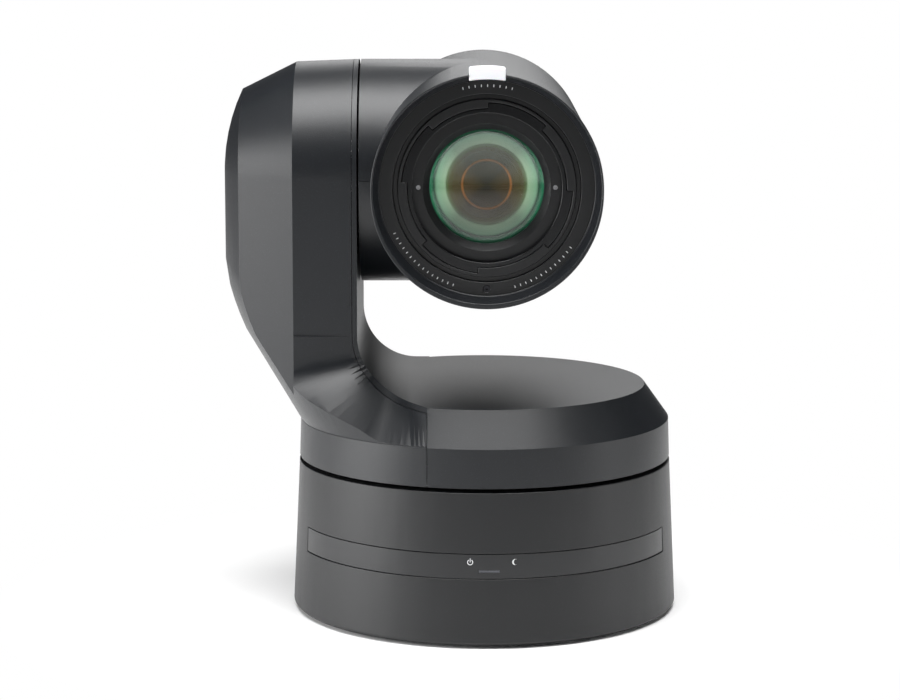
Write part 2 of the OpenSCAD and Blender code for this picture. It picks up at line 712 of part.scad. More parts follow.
module head_rear_cover() color("#212327") {
    seat = head_wall + 0.2;
    y1 = rear_cover_y + 0.15;
    difference() {
        union() {
            barrel_solid(barrel_r, y1, rear_y);
            at_lens_axis(rear_y - eps) cylinder(r1 = barrel_r, r2 = rear_flat_r, h = rear_slope + eps);
            translate([0, 0, -barrel_chin]) at_lens_axis(rear_y - eps)
                cylinder(r1 = barrel_r, r2 = rear_flat_r, h = rear_slope + eps);
        }
        barrel_solid(barrel_r - head_wall, y1 - 1, rear_y - 1);
        at_lens_axis(rear_y - 1 - eps)
            cylinder(r1 = barrel_r - head_wall, r2 = rear_flat_r - head_wall, h = rear_slope - head_wall + 1);
        // Air slots in the flat rear face
        for (i = [-4 : 4]) block([-22 + abs(i) * 2, 22 - abs(i) * 2], [rear_y, rear_end_y + 1],
            [lens_z + i * 6 - 1.2, lens_z + i * 6 + 1.2]);
        for (s = [-1, 1]) at_lens_axis(rear_end_y - 6) translate([s * 28, 0, 0]) cylinder(r = screw_hole_r, h = 8);
    }
}

module rear_cover_screws() color("#3a3a3c")
    for (s = [-1, 1]) at_lens_axis(rear_end_y) translate([s * 28, 0, 0]) difference() {
        union() {
            translate([0, 0, -5]) cylinder(r = screw_r, h = 5 + eps);
            cylinder(r = 2.8, h = 1.2);
        }
        translate([0, 0, 0.5]) cylinder(r = 1.2, h = 2, $fn = 6);
    }

module tilt_shaft() color("#9da0a3") difference() {
    union() {
        at_tilt_axis(tilt_belt_x - 2) cylinder(r = shaft_r, h = drum_x + head_wall - tilt_belt_x + 2);
        at_tilt_axis(drum_x + head_wall) cylinder(r = shaft_r + 8, h = 3);
    }
    at_tilt_axis(tilt_belt_x - 3) cylinder(r = 13, h = 60);
}

module tilt_pulley() color("#a9abae") at_tilt_axis(tilt_belt_x) difference() {
    union() {
        cylinder(r = tilt_pulley_r, h = belt_w);
        translate([0, 0, -1]) cylinder(r = tilt_pulley_r + 1, h = 1);
    }
    translate([0, 0, -2]) cylinder(r = shaft_r + rub, h = belt_w + 4);
    ring_of(48, tilt_pulley_r) translate([0, 0, -eps]) cylinder(r = 0.45, h = belt_w + 1, $fn = 16);
}

bezel_r = 48.9;                   // outer radius of the bezel's flat face
bezel_in_r = 42.6;
bezel_y = rim_y + 8.6;            // the bezel's flat face lies back from the rim
hood_r = 38.6;                    // bayonet boundary, outer lobes
hood_low_r = 35.9;                // bayonet boundary, between the lobes
hood_in_r = 33.9;
lobe_starts = [46.5, 132.8, 221, 315.5];
lobe_width = 43;

module front_rim() color("#1e2023") difference() {
    barrel_solid(barrel_r + 0.4, rim_y, shell_front_y - 0.1);
    at_lens_axis(rim_y - eps) cylinder(r1 = barrel_r - 0.5, r2 = bezel_r + 0.1, h = 8.6);
    at_lens_axis(rim_y + 8) cylinder(r = bezel_r + rub, h = rim_len);
    block([-lamp_w / 2 - 0.1, lamp_w / 2 + 0.1], [rim_y - 1, shell_front_y + 1], [lens_z + 48, lens_z + 60]);
}

module lens_bezel() color("#26282b") difference() {
    at_lens_axis(bezel_y) tube(bezel_r, bezel_in_r, 5);
    at_lens_axis(bezel_y - eps) translate([0, 45.6, 0]) cylinder(r = 1.6, h = 3);
}

module bezel_screw() color("#17181a") at_lens_axis(bezel_y + 0.3) translate([0, 45.6, 0]) difference() {
    cylinder(r = 1.5, h = 2.6);
    translate([0, 0, -eps]) cylinder(r = 0.7, h = 1, $fn = 6);
}

// Bayonet boundary as a flat shape, widened by grow
module bayonet_shape(grow) {
    circle(r = hood_low_r + grow);
    for (a = lobe_starts) intersection() {
        circle(r = hood_r + grow);
        polygon(concat([[0, 0]], [for (t = [0 : 4]) 60 * [cos(-a - t * lobe_width / 4), sin(-a - t * lobe_width / 4)]]));
    }
}

module bayonet_ring() color("#1b1c1f") difference() {
    at_lens_axis(bezel_y + 0.5) union() {
        cylinder(r = 40.3, h = 7);
        translate([0, 0, 1.2]) cylinder(r = bezel_in_r - rub, h = 5.8);
    }
    at_lens_axis(bezel_y) translate([0, 0, -1]) linear_extrude(12) bayonet_shape(0.2);
}

module inner_ring() color("#232528") difference() {
    at_lens_axis(bezel_y + 1.2) linear_extrude(6) bayonet_shape(0);
    at_lens_axis(bezel_y + 1) cylinder(r = hood_in_r, h = 8);
}

module lens_ring() color("#16171a") difference() {
    at_lens_axis(bezel_y + 5) cylinder(r = hood_in_r - rub, h = 8);
    at_lens_axis(bezel_y + 5 - eps) cylinder(r1 = glass_r + 3, r2 = glass_r, h = 4);
    at_lens_axis(bezel_y + 5) cylinder(r = glass_r + rub, h = 9);
    for (s = [-1, 1]) at_lens_axis(bezel_y + 4) translate([s * 31, 0, 0]) cylinder(r = 1.1, h = 4);
}

module lens_ring_screws() color("#8e9194")
    for (s = [-1, 1]) at_lens_axis(bezel_y + 5.2) translate([s * 31, 0, 0]) difference() {
        cylinder(r = 1, h = 2.6);
        translate([0, 0, -eps]) cylinder(r = 0.5, h = 0.8, $fn = 6);
    }

// Height of a crowned face over its edge, at radius x
function crown_at(x, r, crown) = let (ball = (r * r + crown * crown) / (2 * crown))
    sqrt(ball * ball - x * x) - ball + crown;

// A round lens with two crowned faces, its axis along +Z and its edge from z = 0
module lens_shape(r, edge, crown_front, crown_back) {
    steps = 8;
    rotate_extrude() polygon(concat(
        [for (i = [0 : steps]) let (x = r * i / steps) [x, -crown_at(x, r, crown_front)]],
        [for (i = [steps : -1 : 0]) let (x = r * i / steps) [x, edge + crown_at(x, r, crown_back)]]
    ));
}

front_lens_y = bezel_y + 9.5;
tube_front_y = bezel_y + 13;
tube_len = 96;
tube_end_y = tube_front_y + tube_len;

module front_lens() color("#2f6b55", 0.6) at_lens_axis(front_lens_y) lens_shape(glass_r, 3.4, 5, 1.5);

module lens_tube() color("#1a1a1c")
    at_lens_axis(tube_front_y) tube(tube_r + tube_wall, tube_r, tube_len);

// Flange that carries the lens tube in the shells, with four rods back to the sensor board
mount_y = tube_front_y + 6;
mount_t = 3;
rod_places = [[25, -21], [-25, -21], [27, 32], [-27, 32]];

module lens_mount() color("#6f7174") at_lens_axis(mount_y) {
    tube(barrel_r - head_wall - 0.3, tube_r + tube_wall + rub, mount_t);
    for (p = rod_places) translate([p[0], p[1], mount_t - eps])
        cylinder(r = 1.8, h = sensor_y + 2 - mount_y - mount_t + eps);
}

module lens_motors() color("#8b8d90")
    for (s = [-1, 1]) at_lens_axis(mount_y + mount_t) translate([s * 11, -36, 0]) cylinder(r = 5.5, h = 28);

module lens_cell(y, half_width, crown) {
    cell_r = tube_r - slide_gap;
    at_lens_axis(y - half_width) tube(cell_r, cell_r - 3, 2 * half_width);
    at_lens_axis(y - 1.5) lens_shape(cell_r - 3 + eps, 3, crown, crown);
}

focus_y = tube_front_y + 18;
zoom_y = tube_front_y + 46;
iris_y = tube_front_y + 68;
rear_lens_y = tube_front_y + 82;

module focus_group() color("#4d5f5a") lens_cell(focus_y, 5, 2);
module zoom_group() color("#4d5f5a") lens_cell(zoom_y, 6, 2.4);
module iris_ring() color("#101011") at_lens_axis(iris_y) tube(tube_r - 0.02, 9, 2.5);
module rear_lens() color("#4d5f5a") lens_cell(rear_lens_y, 5, 2);

wheel_y = tube_end_y + 3;
wheel_off = 18;                   // wheel's axle under the optical axis
wheel_r = 27;
filter_r = 7.5;

module nd_filter_wheel() color("#38393b") at_lens_axis(wheel_y) translate([0, wheel_off, 0]) difference() {
    cylinder(r = wheel_r, h = 2);
    translate([0, 0, -eps]) cylinder(r = 1.5 + run_gap, h = 3);
    ring_of(4, wheel_off) translate([0, 0, -eps]) cylinder(r = filter_r, h = 1.2);
}

sensor_y = wheel_y + 8;

module nd_wheel_axle() color("#9a9da1")
    at_lens_axis(wheel_y - 0.5) translate([0, wheel_off, 0]) cylinder(r = 1.5, h = sensor_y + 2 - wheel_y + 0.5);

module image_sensor() color("#3b3a44") at_lens_axis(sensor_y) translate([0, 0, 1]) cube([22, 16, 2], center = true);
module sensor_board() color("#1f5a35") at_lens_axis(sensor_y + 2) translate([0, 8, 0.8]) cube([56, 60, 1.6], center = true);

module heat_sink() color("#7d7f82") at_lens_axis(sensor_y + 3.6) {
    translate([0, 0, 1.5]) cube([44, 44, 3], center = true);
    for (i = [-5 : 5]) translate([i * 4, 0, 8]) cube([1.4, 44, 11], center = true);
}

lamp_w = 16.4;
lamp_l = 14;
lamp_y = rim_y + 0.5;

// Lamp on top of the rim, curved like the barrel
module tally_lamp() color("#f2f2f4") intersection() {
    at_lens_axis(lamp_y) tube(55, 49.6, lamp_l);
    block([-lamp_w / 2, lamp_w / 2], [lamp_y, lamp_y + lamp_l], [lens_z + 40, lens_z + 60]);
}

// ---- what is drawn -------------------------------------------------------------------------

base_housing();
base_plate();
rubber_feet();
base_screws();
front_strip();
status_led();
indicator_board();
rear_panel();
sdi_sockets();
hdmi_socket();
network_sockets();
power_socket();
audio_socket();
main_board();
pan_bearing();
pan_motor_bracket();
pan_motor();
pan_motor_pulley();
pan_belt();
fan_frame();
fan_rotor();
turntable();
slip_ring();
pan_cover();
arm_cover();
arm_frame();
arm_board();
tilt_bearing();
tilt_motor();
tilt_motor_pulley();
tilt_belt();
cover_screws();
head_upper_shell();
head_lower_shell();
head_rear_cover();
rear_cover_screws();
tilt_shaft();
tilt_pulley();
front_rim();
lens_bezel();
bayonet_ring();
inner_ring();
lens_ring();
lens_ring_screws();
bezel_screw();
front_lens();
lens_mount();
lens_tube();
lens_motors();
focus_group();
zoom_group();
iris_ring();
rear_lens();
nd_filter_wheel();
nd_wheel_axle();
image_sensor();
sensor_board();
heat_sink();
tally_lamp();
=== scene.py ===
import json
import math

import bmesh
import bpy
from mathutils import Matrix, Vector
from mathutils.bvhtree import BVHTree

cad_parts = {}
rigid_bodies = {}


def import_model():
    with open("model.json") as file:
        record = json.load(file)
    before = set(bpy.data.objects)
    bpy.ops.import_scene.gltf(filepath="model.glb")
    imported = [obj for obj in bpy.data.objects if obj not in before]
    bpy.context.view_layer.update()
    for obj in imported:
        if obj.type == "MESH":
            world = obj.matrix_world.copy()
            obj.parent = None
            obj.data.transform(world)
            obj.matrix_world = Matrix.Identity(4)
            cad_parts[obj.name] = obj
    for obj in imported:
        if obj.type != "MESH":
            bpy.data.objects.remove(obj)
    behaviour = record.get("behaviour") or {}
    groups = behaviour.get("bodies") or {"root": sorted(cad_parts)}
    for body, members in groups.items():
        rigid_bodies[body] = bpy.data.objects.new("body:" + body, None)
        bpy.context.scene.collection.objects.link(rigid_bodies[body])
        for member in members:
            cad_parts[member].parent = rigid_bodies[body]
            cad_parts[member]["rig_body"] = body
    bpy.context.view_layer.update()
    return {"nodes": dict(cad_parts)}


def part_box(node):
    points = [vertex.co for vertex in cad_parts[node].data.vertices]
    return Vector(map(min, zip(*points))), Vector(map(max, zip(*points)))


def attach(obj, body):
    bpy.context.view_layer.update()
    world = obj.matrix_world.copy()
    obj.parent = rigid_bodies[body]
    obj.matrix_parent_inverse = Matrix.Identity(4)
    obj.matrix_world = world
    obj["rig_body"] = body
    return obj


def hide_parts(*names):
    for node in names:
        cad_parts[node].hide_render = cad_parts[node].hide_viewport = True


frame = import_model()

nodes = frame["nodes"]
body_of = {name: obj["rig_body"] for name, obj in nodes.items()}

# ---- Camera --------------------------------------------------------------------------------
# A long lens a little above the tilt axis, in front of the object and slightly to its left.
CAMERA_PLACE = (-0.01665, -1.374, 0.3484)
CAMERA_PITCH = 9.30               # degrees below the horizon
FOCAL_MM, SENSOR_MM = 115.8, 36.0
camera_data = bpy.data.cameras.new("camera")
camera_data.lens, camera_data.sensor_width = FOCAL_MM, SENSOR_MM
camera = bpy.data.objects.new("camera", camera_data)
camera.location = CAMERA_PLACE
camera.rotation_euler = (math.radians(90 - CAMERA_PITCH), 0, 0)
bpy.context.scene.collection.objects.link(camera)
bpy.context.scene.camera = camera

# ---- Base housing --------------------------------------------------------------------------
# The round lower body, moulded in glass-filled polycarbonate with a fine spark-eroded grain,
# charcoal all through. Four screws hold it down on the base plate.
CHARCOAL = (0.0052, 0.0057, 0.0066)
HOUSING_EDGE = 0.00045            # radius on the outside edges of the mouldings
WELD = 2e-6                       # vertices nearer than this are one
FINE_GRAIN = 2300.0               # grains per metre of the housing's surface


def socket_value(group, name, kind, value=None, way="INPUT"):
    made = group.interface.new_socket(name, in_out=way, socket_type=kind)
    if value is not None:
        made.default_value = value
    return made


def wire(tree, kind, inputs=None, **settings):
    """A node with its settings, its inputs set or linked by socket name or number."""
    node = tree.nodes.new(kind)
    for key, value in settings.items():
        setattr(node, key, value)
    for key, value in (inputs or {}).items():
        if isinstance(value, bpy.types.NodeSocket):
            tree.links.new(value, node.inputs[key])
        else:
            node.inputs[key].default_value = value
    return node


# Moulded grain: a tight pebbled relief, a slow drift of tone, and a few bright grains.
grain = bpy.data.node_groups.new("moulded_grain", "ShaderNodeTree")
socket_value(grain, "Vector", "NodeSocketVector")
socket_value(grain, "Grains per metre", "NodeSocketFloat", 1500.0)
socket_value(grain, "Bright share", "NodeSocketFloat", 0.06)
for out_name in ("Height", "Drift", "Bright"):
    socket_value(grain, out_name, "NodeSocketFloat", way="OUTPUT")
g_in = wire(grain, "NodeGroupInput")
g_out = wire(grain, "NodeGroupOutput")
g_place, g_scale = g_in.outputs["Vector"], g_in.outputs["Grains per metre"]
g_fine = wire(grain, "ShaderNodeTexNoise", {"Vector": g_place, "Scale": g_scale, "Detail": 2.0, "Roughness": 0.6})
g_slow = wire(grain, "ShaderNodeTexNoise", {"Vector": g_place, "Scale": 22.0, "Detail": 3.0})
g_cell = wire(grain, "ShaderNodeTexVoronoi", {"Vector": g_place, "Scale": g_scale})
g_red = wire(grain, "ShaderNodeSeparateColor", {"Color": g_cell.outputs["Color"]})
g_edge = wire(grain, "ShaderNodeMath", {0: 1.0, 1: g_in.outputs["Bright share"]}, operation="SUBTRACT")
g_pick = wire(grain, "ShaderNodeMath", {0: g_red.outputs["Red"], 1: g_edge.outputs[0]}, operation="GREATER_THAN")
grain.links.new(g_fine.outputs["Fac"], g_out.inputs["Height"])
grain.links.new(g_slow.outputs["Fac"], g_out.inputs["Drift"])
grain.links.new(g_pick.outputs[0], g_out.inputs["Bright"])


def new_material(name):
    """An empty material with its Principled shader and Object coordinates."""
    material = bpy.data.materials.new(name)
    material.use_nodes = True
    tree = material.node_tree
    return material, tree, tree.nodes["Principled BSDF"], wire(tree, "ShaderNodeTexCoord").outputs["Object"]


def moulded(name, colour, roughness, grains=1500.0, relief=0.00006, bright=0.05, lift=0.35,
            specular=0.5, bright_lift=2.2):
    """Moulded or painted surface with the grain group: colour, gloss and relief all vary a little."""
    material, tree, shader, place = new_material(name)
    g = wire(tree, "ShaderNodeGroup", node_tree=grain)
    tree.links.new(place, g.inputs["Vector"])
    g.inputs["Grains per metre"].default_value = grains
    g.inputs["Bright share"].default_value = bright
    low = tuple(c * (1 - lift / 2) for c in colour) + (1,)
    high = tuple(c * (1 + lift / 2) for c in colour) + (1,)
    mix = tree.nodes.new("ShaderNodeMixRGB")
    tree.links.new(g.outputs["Drift"], mix.inputs["Fac"])
    mix.inputs["Color1"].default_value, mix.inputs["Color2"].default_value = low, high
    spark = tree.nodes.new("ShaderNodeMixRGB")
    tree.links.new(g.outputs["Bright"], spark.inputs["Fac"])
    tree.links.new(mix.outputs["Color"], spark.inputs["Color1"])
    spark.inputs["Color2"].default_value = tuple(min(1, c * bright_lift) for c in colour) + (1,)
    tree.links.new(spark.outputs["Color"], shader.inputs["Base Color"])
    gloss = wire(tree, "ShaderNodeMapRange", {"Value": g.outputs["Height"], "From Min": 0.3, "From Max": 0.7,
                                              "To Min": roughness - 0.05, "To Max": roughness + 0.05})
    tree.links.new(gloss.outputs["Result"], shader.inputs["Roughness"])
    bump = wire(tree, "ShaderNodeBump", {"Strength": 1.0, "Distance": relief, "Height": g.outputs["Height"]})
    tree.links.new(bump.outputs["Normal"], shader.inputs["Normal"])
    shader.inputs["Specular IOR Level"].default_value = specular
    return material


def put_on(obj, material):
    obj.data.materials.clear()
    obj.data.materials.append(material)


def finish_node(name, material):
    """A CAD node that keeps its shape gets its real surface."""
    for slot in nodes[name].material_slots:
        slot.material = material
    return nodes[name]


def baked(obj):
    """The object with its modifiers made real: a plain mesh at the origin."""
    evaluated = obj.evaluated_get(bpy.context.evaluated_depsgraph_get())
    mesh = bpy.data.meshes.new_from_object(evaluated)
    old = obj.data
    obj.modifiers.clear()
    obj.data = mesh
    if old.users == 0:
        bpy.data.meshes.remove(old)
    return obj


def stood_in(obj, *replaced):
    """obj takes the place of CAD nodes and rides on their body."""
    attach(obj, body_of[replaced[0]])
    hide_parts(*replaced)
    return obj


def mesh_object(name, verts, faces):
    mesh = bpy.data.meshes.new(name)
    mesh.from_pydata(verts, [], faces)
    obj = bpy.data.objects.new(name, mesh)
    bpy.context.scene.collection.objects.link(obj)
    return obj


def merged_copy(name, flat_within=None):
    """An object with the CAD node's shape and one vertex per corner; nearly flat faces may join."""
    work = bmesh.new()
    work.from_mesh(nodes[name].data)
    bmesh.ops.remove_doubles(work, verts=work.verts, dist=WELD)
    if flat_within:
        bmesh.ops.dissolve_limit(work, angle_limit=flat_within, verts=work.verts, edges=work.edges)
    work.verts.index_update()
    obj = mesh_object(name + "_skin", [tuple(v.co) for v in work.verts],
                      [[v.index for v in f.verts] for f in work.faces])
    work.free()
    return obj


def finished_skin(obj, name, material):
    """The copy with even shading over its flat faces, standing in for its CAD node."""
    obj.modifiers.new("shading", "WEIGHTED_NORMAL").keep_sharp = True
    put_on(baked(obj), material)
    return stood_in(obj, name)


def eased(name, radius, material, corner=28.0):
    """A moulding with its edges rounded, which stands in for its CAD node."""
    obj = merged_copy(name, flat_within=math.radians(0.7))
    obj.data.polygons.foreach_set("use_smooth", [True] * len(obj.data.polygons))
    bevel = obj.modifiers.new("edges", "BEVEL")
    bevel.width, bevel.segments, bevel.limit_method = radius, 2, "ANGLE"
    bevel.angle_limit, bevel.use_clamp_overlap, bevel.miter_outer = math.radians(corner), False, "MITER_ARC"
    return finished_skin(obj, name, material)


def smoothed(name, material, corner=24.0):
    """A faceted CAD node with soft shading over its curves, by a copy that stands in for it."""
    obj = merged_copy(name)
    obj.data.shade_smooth()
    obj.data.set_sharp_from_angle(angle=math.radians(corner))
    return finished_skin(obj, name, material)


charcoal_base = moulded("charcoal_moulding", CHARCOAL, 0.45, grains=FINE_GRAIN, relief=0.000022,
                        bright=0.03, bright_lift=1.6)
eased("base_housing", HOUSING_EDGE, charcoal_base)

# ---- Base plate, feet and their screws -------------------------------------------------------
# A zinc-plated steel bottom with the tripod thread and bracket holes, four black rubber feet
# bonded to it, and the pan-head screws that hold the housing down.
def metal(name, colour, roughness, along=(1, 1, 1), streaks=900.0, relief=0.000006):
    """Bare or plated metal with drawn or tumbled streaks along one axis."""
    material, tree, shader, place = new_material(name)
    stretch = wire(tree, "ShaderNodeMapping", {"Vector": place, "Scale": along})
    noise = wire(tree, "ShaderNodeTexNoise", {"Vector": stretch.outputs["Vector"], "Scale": streaks, "Detail": 3.0})
    cloud = wire(tree, "ShaderNodeTexNoise", {"Vector": place, "Scale": 40.0, "Detail": 2.0})
    mix = tree.nodes.new("ShaderNodeMixRGB")
    tree.links.new(cloud.outputs["Fac"], mix.inputs["Fac"])
    mix.inputs["Color1"].default_value = tuple(c * 0.82 for c in colour) + (1,)
    mix.inputs["Color2"].default_value = tuple(min(1, c * 1.1) for c in colour) + (1,)
    tree.links.new(mix.outputs["Color"], shader.inputs["Base Color"])
    gloss = wire(tree, "ShaderNodeMapRange", {"Value": noise.outputs["Fac"], "To Min": roughness - 0.08,
                                              "To Max": roughness + 0.1})
    tree.links.new(gloss.outputs["Result"], shader.inputs["Roughness"])
    bump = wire(tree, "ShaderNodeBump", {"Distance": relief, "Height": noise.outputs["Fac"]})
    tree.links.new(bump.outputs["Normal"], shader.inputs["Normal"])
    shader.inputs["Metallic"].default_value = 1.0
    return material


zinc_plate = metal("zinc_plated_steel", (0.52, 0.53, 0.55), 0.34, along=(1, 0.08, 1))
black_screw = metal("black_oxide_steel", (0.045, 0.045, 0.05), 0.36)
bright_steel = metal("bright_steel", (0.6, 0.6, 0.62), 0.24)
rubber = moulded("black_rubber", (0.012, 0.012, 0.012), 0.78, grains=900.0, relief=0.00008, bright=0.0,
                 specular=0.3)
finish_node("base_plate", zinc_plate)
finish_node("rubber_feet", rubber)


def screw_head(name, radius, height, length, recess):
    """A pan head with a cross recess and its shank, pointing up from the seat at Z = 0."""
    arm, depth, steps = recess * 0.24, height * 0.55, 28
    work = bmesh.new()
    rings = [(radius * 0.42, -length), (radius * 0.42, 0.0), (radius * 0.97, 0.0), (radius, height * 0.2),
             (radius * 0.93, height * 0.62), (radius * 0.74, height * 0.9), (radius * 0.6, height)]
    loops = [[work.verts.new((r * math.cos(2 * math.pi * k / steps), r * math.sin(2 * math.pi * k / steps), z))
              for k in range(steps)] for r, z in rings]
    for low, high in zip(loops, loops[1:]):
        for k in range(steps):
            work.faces.new((low[k], low[(k + 1) % steps], high[(k + 1) % steps], high[k]))
    work.faces.new(list(reversed(loops[0])))
    cross = [(recess, -arm), (recess, arm), (arm, arm), (arm, recess), (-arm, recess), (-arm, arm),
             (-recess, arm), (-recess, -arm), (-arm, -arm), (-arm, -recess), (arm, -recess), (arm, -arm)]
    top = [work.verts.new((x, y, height)) for x, y in cross]
    low = [work.verts.new((x * 0.72, y * 0.72, height - depth)) for x, y in cross]
    outer, corner = loops[-1], len(cross)
    ends = [round(math.atan2(y, x) / (2 * math.pi) * steps) % steps for x, y in cross]
    for k in range(corner):
        work.faces.new((top[(k + 1) % corner], top[k], low[k], low[(k + 1) % corner]))
        a, b = ends[k], ends[(k + 1) % corner]
        run = [outer[(a + j) % steps] for j in range((b - a) % steps + 1)]
        if len(run) > 1:
            work.faces.new(run + [top[(k + 1) % corner], top[k]])
        else:
            work.faces.new((run[0], top[(k + 1) % corner], top[k]))
    work.faces.new(low)
    bmesh.ops.recalc_face_normals(work, faces=work.faces)
    mesh = bpy.data.meshes.new(name)
    work.to_mesh(mesh)
    work.free()
    mesh.shade_smooth()
    mesh.set_sharp_from_angle(angle=math.radians(38))
    return mesh


# Copies one piece to places round a circle and turns each by a step of its own.
ring_tree = bpy.data.node_groups.new("pieces_round_a_circle", "GeometryNodeTree")
for in_name, kind, value in (("Piece", "NodeSocketObject", None), ("Count", "NodeSocketInt", 4),
                             ("Radius", "NodeSocketFloat", 0.05),
                             ("First angle", "NodeSocketFloat", 0.0), ("Sweep", "NodeSocketFloat", math.tau),
                             ("Turn each", "NodeSocketFloat", 0.6), ("Material", "NodeSocketMaterial", None)):
    socket_value(ring_tree, in_name, kind, value)
socket_value(ring_tree, "Geometry", "NodeSocketGeometry", way="OUTPUT")
r_in, r_out = wire(ring_tree, "NodeGroupInput"), wire(ring_tree, "NodeGroupOutput")
r_points = wire(ring_tree, "GeometryNodePoints", {"Count": r_in.outputs["Count"]})
r_index = wire(ring_tree, "GeometryNodeInputIndex")
r_share = wire(ring_tree, "ShaderNodeMath", {0: r_index.outputs[0], 1: r_in.outputs["Count"]}, operation="DIVIDE")
r_angle = wire(ring_tree, "ShaderNodeMath",
               {0: r_share.outputs[0], 1: r_in.outputs["Sweep"], 2: r_in.outputs["First angle"]},
               operation="MULTIPLY_ADD")
r_cos = wire(ring_tree, "ShaderNodeMath", {0: r_angle.outputs[0]}, operation="COSINE")
r_sin = wire(ring_tree, "ShaderNodeMath", {0: r_angle.outputs[0]}, operation="SINE")
r_x = wire(ring_tree, "ShaderNodeMath", {0: r_cos.outputs[0], 1: r_in.outputs["Radius"]}, operation="MULTIPLY")
r_y = wire(ring_tree, "ShaderNodeMath", {0: r_sin.outputs[0], 1: r_in.outputs["Radius"]}, operation="MULTIPLY")
r_place = wire(ring_tree, "ShaderNodeCombineXYZ", {"X": r_x.outputs[0], "Y": r_y.outputs[0]})
r_set = wire(ring_tree, "GeometryNodeSetPosition", {"Geometry": r_points.outputs[0], "Position": r_place.outputs[0]})
r_turn = wire(ring_tree, "ShaderNodeMath",
              {0: r_index.outputs[0], 1: r_in.outputs["Turn each"], 2: r_angle.outputs[0]},
              operation="MULTIPLY_ADD")
r_euler = wire(ring_tree, "ShaderNodeCombineXYZ", {"Z": r_turn.outputs[0]})
r_piece = wire(ring_tree, "GeometryNodeObjectInfo", {"Object": r_in.outputs["Piece"]})
r_many = wire(ring_tree, "GeometryNodeInstanceOnPoints",
              {"Points": r_set.outputs[0], "Instance": r_piece.outputs["Geometry"], "Rotation": r_euler.outputs[0]})
r_real = wire(ring_tree, "GeometryNodeRealizeInstances", {0: r_many.outputs[0]})
r_mat = wire(ring_tree, "GeometryNodeSetMaterial",
             {"Geometry": r_real.outputs[0], "Material": r_in.outputs["Material"]})
ring_tree.links.new(r_mat.outputs[0], r_out.inputs["Geometry"])


def round_a_circle(name, piece_mesh, material, to_place, count, radius, first=0.0, sweep=math.tau, turn=0.6):
    """Pieces in a ring, laid out flat by the tree and then moved to their place by a matrix."""
    piece = bpy.data.objects.new(name + "_one", piece_mesh)
    obj = mesh_object(name, [], [])
    modifier = obj.modifiers.new("ring", "NODES")
    modifier.node_group = ring_tree
    values = {"Piece": piece, "Count": count, "Radius": radius, "First angle": first, "Sweep": sweep,
              "Turn each": turn, "Material": material}
    for item in ring_tree.interface.items_tree:
        if item.in_out == "INPUT":
            modifier[item.identifier] = values[item.name]
    baked(obj)
    obj.data.transform(to_place)
    bpy.data.objects.remove(piece)
    return obj


BASE_SCREW_RING = 0.0837          # radius of the ring of screws under the base


def facing(axis_point, direction, spin=0.0):
    """Matrix that turns a flat layout's +Z to a direction at a point; layout +Y stays as near +Z as it can."""
    z = Vector(direction).normalized()
    up = Vector((0, 0, 1)) if abs(z.z) < 0.9 else Vector((0, 1, 0))
    x = up.cross(z).normalized()
    y = z.cross(x)
    turned = Matrix((x, y, z)).transposed().to_4x4()
    return Matrix.Translation(axis_point) @ turned @ Matrix.Rotation(spin, 4, "Z")


stood_in(round_a_circle("base_screw_set", screw_head("base_screw", 0.0027, 0.0008, 0.0098, 0.0014), black_screw,
                        facing((0, 0, 0.0012), (0, 0, -1)), 4, BASE_SCREW_RING), "base_screws")

# ---- Front strip, status lamp and symbols ------------------------------------------------------
# A satin strip let into the front of the housing behind a thin shadow gap. It carries a small
# lamp window and two screen-printed symbols, and snaps in from inside.
strip_skin = eased("front_strip", 0.00016, moulded("strip_satin", (0.0100, 0.0106, 0.0118), 0.34, grains=2200.0,
                                                   relief=0.000008, bright=0.0, lift=0.2))
lamp_window = moulded("lamp_window", (0.085, 0.09, 0.105), 0.3, grains=3000.0, relief=0.000004, bright=0.0)
finish_node("status_led", lamp_window)
print_white = moulded("printed_white", (0.72, 0.73, 0.74), 0.5, grains=4000.0, relief=0.000004, bright=0.0, lift=0.1)
surface = BVHTree.FromObject(strip_skin, bpy.context.evaluated_depsgraph_get())


def outline_to_mesh(name, outer, inner, thickness=0.00002):
    """A printed band in X and Z between two loops of points, laid on the strip's curved face."""
    verts = []
    for x, z in outer + inner:
        hit = surface.ray_cast(Vector((x, -0.2, z)), Vector((0, 1, 0)))[0]
        verts.append((x, hit.y - thickness, z))
    n = len(outer)
    obj = mesh_object(name, verts, [(k, n + k, n + k + 1, k + 1) for k in range(n - 1)])
    put_on(obj, print_white)
    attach(obj, "base")
    return obj


def arc(cx, cz, r, start, end, steps=28):
    turns = [math.radians(start + (end - start) * k / steps) for k in range(steps + 1)]
    return [(cx + r * math.cos(a), cz + r * math.sin(a)) for a in turns]


SYMBOL_Z, SYMBOL_R, SYMBOL_LINE = 0.0403, 0.00135, 0.00034
outline_to_mesh("power_symbol_ring", arc(-0.0075, SYMBOL_Z, SYMBOL_R, 120, 420),
                arc(-0.0075, SYMBOL_Z, SYMBOL_R - SYMBOL_LINE, 120, 420))
bar_x = [-0.0075 - SYMBOL_LINE / 2, -0.0075 + SYMBOL_LINE / 2]
outline_to_mesh("power_symbol_bar", [(bar_x[0], SYMBOL_Z), (bar_x[0], SYMBOL_Z + 0.0018)],
                [(bar_x[1], SYMBOL_Z), (bar_x[1], SYMBOL_Z + 0.0018)])
outline_to_mesh("standby_symbol", arc(0.013, SYMBOL_Z, SYMBOL_R, 60, 300),
                arc(0.0137, SYMBOL_Z, SYMBOL_R, 92, 268))

